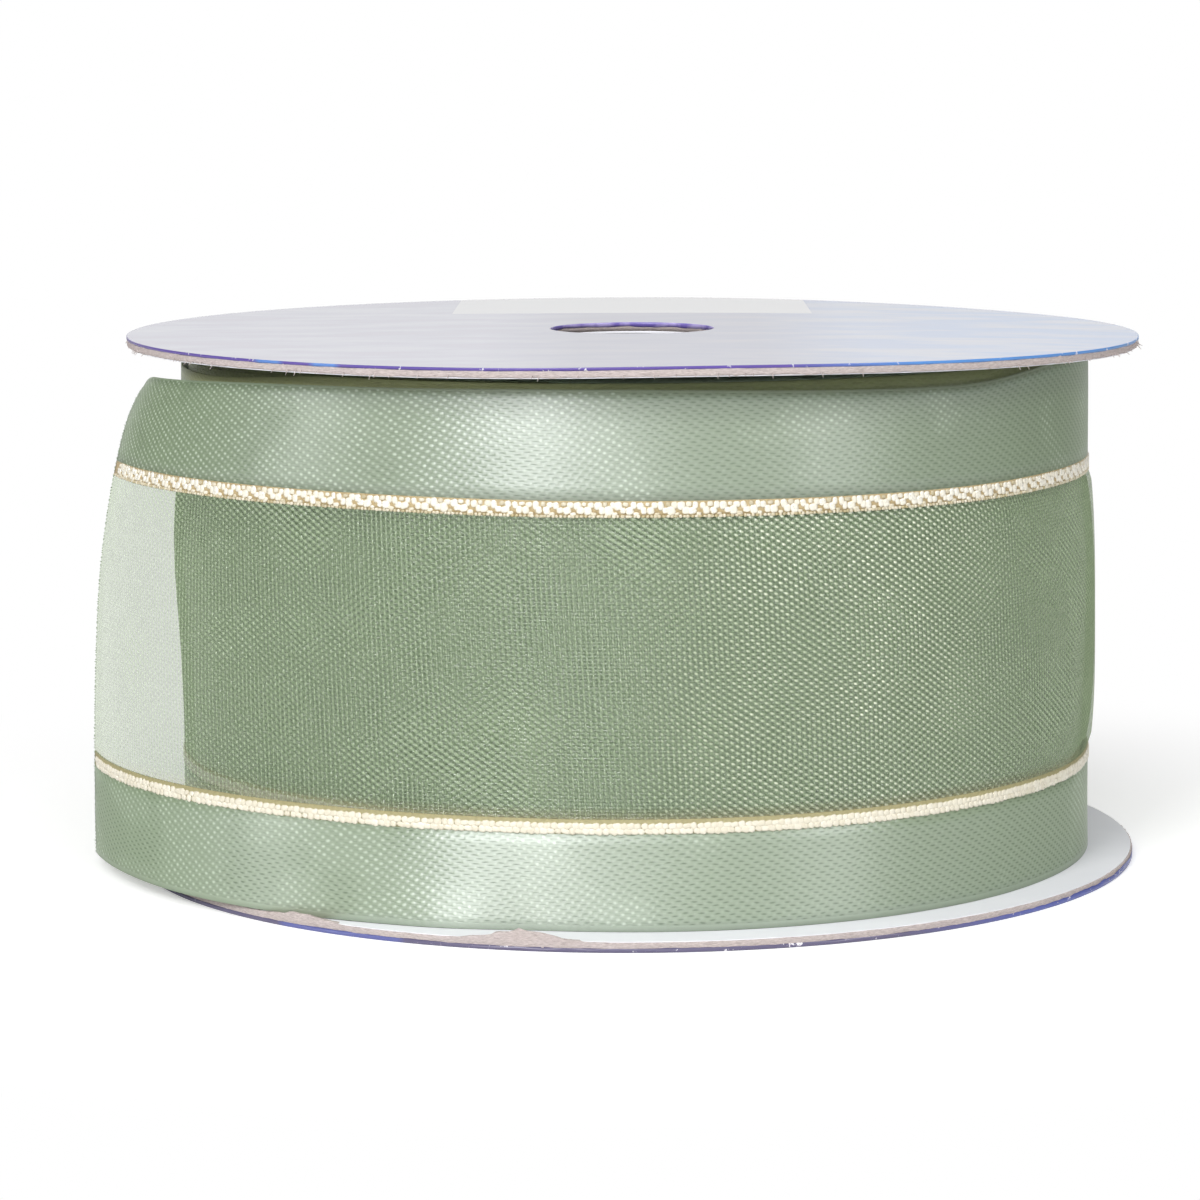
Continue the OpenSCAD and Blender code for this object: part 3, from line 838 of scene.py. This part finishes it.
def lay_cord(span, start, end, rows, seed):
    """A metallic cord: a thin core band with rows of film floats along it. A row gives the share of the
    cord's width where it lies, the pitch of its floats, their length, width and slant, their first place
    and their shades. Turns that lie under the outer one have the core alone."""
    draw = random.Random(seed)
    bm = ribbon_band(ribbon_point, roll_lengths, span, start, end, bend_step, 1, cord_t)
    for face in bm.faces:
        face.material_index = 1
    bm.verts.layers.float.new("float_shade")
    for share, pitch, long, wide, slant, first, shades in rows:
        height = span[0] + share * (span[1] - span[0])
        step = math.degrees(pitch / (outer_r + outer_turns * turn_pitch))
        for count in range(math.ceil(max(start, seen_from) / step), math.floor(end / step - 0.5)):
            turned = (count + (first + draw.uniform(-0.05, 0.05) * MM) / pitch) * step
            here = ribbon_point(turned, height)
            tangent = (ribbon_point(turned + 0.5, height) - here).normalized()
            up = (ribbon_point(turned, height + 0.2 * MM) - here).normalized()
            out = up.cross(tangent)
            turn = math.radians(slant + draw.uniform(-9, 9))
            along = tangent * math.cos(turn) + up * math.sin(turn)
            stand = Matrix((along, out.cross(along), out)).transposed().to_4x4()
            size = (long * draw.uniform(0.8, 1.25), wide * draw.uniform(0.8, 1.2), float_d, 1.0)
            laid = one_float.copy()
            laid.transform(Matrix.Translation(here) @ stand @ Matrix.Diagonal(size))
            shade = draw.uniform(*shades)
            laid.attributes["float_shade"].data.foreach_set("value", [shade] * len(laid.vertices))
            bm.from_mesh(laid)
            bpy.data.meshes.remove(laid)
    return bm


upper_rows = (
    (0.70, 1.53 * MM, 0.50 * MM, 0.58 * MM, -14, 0.02 * MM, (0.75, 1.0)),
    (0.74, 1.53 * MM, 0.42 * MM, 0.48 * MM, -4, 0.50 * MM, (0.6, 1.0)),
    (0.80, 1.53 * MM, 0.36 * MM, 0.32 * MM, 0, 1.01 * MM, (0.2, 0.8)),
    (0.40, 1.53 * MM, 0.56 * MM, 0.60 * MM, -14, 0.77 * MM, (0.75, 1.0)),
    (0.42, 1.53 * MM, 0.46 * MM, 0.50 * MM, -4, 1.25 * MM, (0.7, 1.0)),
    (0.20, 1.53 * MM, 0.40 * MM, 0.26 * MM, 0, 0.30 * MM, (0.3, 0.8)),
    (0.05, 0.30 * MM, 0.24 * MM, 0.22 * MM, 0, 0.10 * MM, (0.1, 0.6)),
)
lower_rows = (
    (0.19, 0.51 * MM, 0.60 * MM, 0.46 * MM, 14, 0.00 * MM, (0.56, 0.74)),
    (0.53, 0.51 * MM, 0.60 * MM, 0.46 * MM, -14, 0.25 * MM, (0.56, 0.74)),
)

bm = ribbon_band(inner_point, inner_lengths, (0.0, ribbon_w), 0, 360 * inner_wraps, 3.75, 1, satin_t)
inner_turns = finish_piece("inner_turns_of_ribbon", bm, satin)
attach(inner_turns, "spool")
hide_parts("inner_turns")

lower_satin_span = (-0.27 * MM, lower_cord_span[0])
organza_span = (lower_cord_span[1], upper_cord_span[0])
upper_satin_span = (upper_cord_span[1], ribbon_w)

for name, span, rows in (
    ("roll_lower_satin", lower_satin_span, 4), ("roll_upper_satin", upper_satin_span, 4),
):
    bm = ribbon_band(ribbon_point, roll_lengths, span, 0, last_half_turn, bend_step, rows, satin_t)
    piece = finish_piece(name, bm, satin)
    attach(piece, "spool")
    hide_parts(name.replace("roll", "wound"))
for name, node_name, span, rows, seed in (
    ("roll_lower_cord", "wound_lower_gold", lower_cord_span, lower_rows, 11),
    ("roll_upper_cord", "wound_upper_gold", upper_cord_span, upper_rows, 12),
):
    piece = finish_piece(name, lay_cord(span, 0, last_half_turn, rows, seed), gold_film, core_yarn)
    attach(piece, "spool")
    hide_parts(node_name)

bm = ribbon_band(ribbon_point, roll_lengths, organza_span, 0, last_half_turn, bend_step, 24)
roll_organza = finish_piece("roll_organza", bm, close_organza)
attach(roll_organza, "spool")
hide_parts("wound_organza")

# Loose outer turn
# The same ribbon over its last half turn on the roll and on round its free end, sprung off at the left.
for name, span, rows in (
    ("loose_lower_satin", lower_satin_span, 8), ("loose_upper_satin", upper_satin_span, 8),
):
    bm = ribbon_band(ribbon_point, roll_lengths, span, last_half_turn, ribbon_end, bend_step, rows, satin_t)
    piece = finish_piece(name, bm, satin)
    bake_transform(piece)
    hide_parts(name.replace("loose", "tail"))
for name, node_name, span, rows, seed in (
    ("loose_lower_cord", "tail_lower_gold", lower_cord_span, lower_rows, 21),
    ("loose_upper_cord", "tail_upper_gold", upper_cord_span, upper_rows, 22),
):
    bm = lay_cord(span, last_half_turn, ribbon_end, rows, seed)
    piece = finish_piece(name, bm, gold_film, core_yarn)
    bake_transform(piece)
    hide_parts(node_name)
draw = random.Random(31)
bm = bmesh.new()
yarn_ends = 190
for yarn in range(yarn_ends):
    height = ribbon_w * (yarn + draw.random()) / yarn_ends
    here = ribbon_point(ribbon_end, height)
    along = (here - ribbon_point(ribbon_end - 0.5, height)).normalized()
    long = draw.uniform(0.1, 0.3) * MM if yarn > 4 else draw.uniform(0.5, 1.0) * MM
    astray = Vector((draw.uniform(-0.3, 0.3), draw.uniform(-0.3, 0.3), draw.uniform(-0.4, 0.2)))
    way = (along + astray).normalized()
    stand = Matrix.Translation(here + way * long * 0.4) @ way.to_track_quat("Z", "Y").to_matrix().to_4x4()
    bmesh.ops.create_cone(
        bm, cap_ends=True, segments=5, radius1=0.06 * MM, radius2=0.02 * MM, depth=long, matrix=stand,
    )
bm.loops.layers.uv.new("cloth")
fray = finish_piece("loose_end_fray", bm, satin)
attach(fray, "ribbon_tail")
bm = ribbon_band(ribbon_point, roll_lengths, organza_span, last_half_turn, ribbon_end, bend_step, 24)
loose_organza = finish_piece("loose_organza", bm, organza)
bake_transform(loose_organza)
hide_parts("tail_organza")

# Upper disc
# The same card sandwich the other way up: liner inside, board, and the printed label on top. It has warped
# a little, and the die has torn fibres out along its lower edge and pushed a burr down round the hole.
disc_cup, disc_rise, disc_sag = 0.1 * MM, 0.22 * MM, 0.35 * MM


def warp(bm):
    """Bends a layer of the disc. Its rim droops, most at the right, and stands up a little at the front."""
    for vert in bm.verts:
        angle = angle_of(vert.co)
        bent = disc_rise * math.exp(-((angle - 8) / 20) ** 2) - disc_cup
        bent -= disc_sag * ease((angle - 20) / 60) * ease((180 - angle) / 60)
        vert.co.z += bent * (vert.co.xy.length / disc_r) ** 2
    return bm


label_low, label_high = (corner.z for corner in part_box("upper_label"))
board_low, board_high = (corner.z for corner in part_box("upper_board"))
liner_low, liner_high = (corner.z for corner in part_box("upper_liner"))

punch_burr = 0.25 * MM
bm = spun_layer(layer_section(liner_low, liner_high, disc_r - 0.12 * MM, 0.02 * MM))
for vert in bm.verts:
    if vert.co.xy.length < hole_r + 0.1 * MM and vert.co.z < (liner_low + liner_high) / 2:
        vert.co.z -= punch_burr
bm = warp(bm)
upper_liner = finish_piece("upper_disc_liner", bm, liner_paper)
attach(upper_liner, "spool")
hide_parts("upper_liner")

bm = spun_layer(layer_section(board_low, board_high, disc_r, 0.08 * MM))
for vert in bm.verts:
    out = vert.co.xy.length
    if out > disc_r - 0.6 * MM:
        rough = noise.fractal(vert.co / (0.8 * MM), 1.0, 2.0, 4)
        torn = max(noise.noise(Vector((angle_of(vert.co) / 1.1, 5.2, 0))) - 0.25, 0.0)
        low = 1 - (vert.co.z - board_low) / (board_high - board_low)
        vert.co.z -= low * (0.16 * MM * torn + 0.05 * MM * rough)
        if out > disc_r - 0.3 * MM:
            vert.co.xy *= 1 + 0.05 * MM * rough / disc_r
draw = random.Random(41)
for fibre in range(150):
    turn = math.radians(draw.uniform(0, 360))
    long = draw.uniform(0.15, 0.6) * MM
    way = Vector((math.sin(turn) * 0.7, -math.cos(turn) * 0.7, -draw.uniform(0.2, 1.2))).normalized()
    foot = Vector((math.sin(turn) * disc_r, -math.cos(turn) * disc_r, board_low + 0.1 * MM))
    stand = Matrix.Translation(foot + way * long * 0.3) @ way.to_track_quat("Z", "Y").to_matrix().to_4x4()
    bmesh.ops.create_cone(
        bm, cap_ends=True, segments=5, radius1=0.05 * MM, radius2=0.015 * MM, depth=long, matrix=stand,
    )
upper_board = finish_piece("upper_disc_board", warp(bm), greyboard)
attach(upper_board, "spool")
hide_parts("upper_board")

label_lip = 0.1 * MM
bm = wear_lip(spun_layer(label_section(label_high, label_low, label_lip)), label_low, -label_lip, 0.0)
upper_label = finish_piece("upper_disc_label", warp(bm), printed_label)
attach(upper_label, "spool")
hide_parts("upper_label")
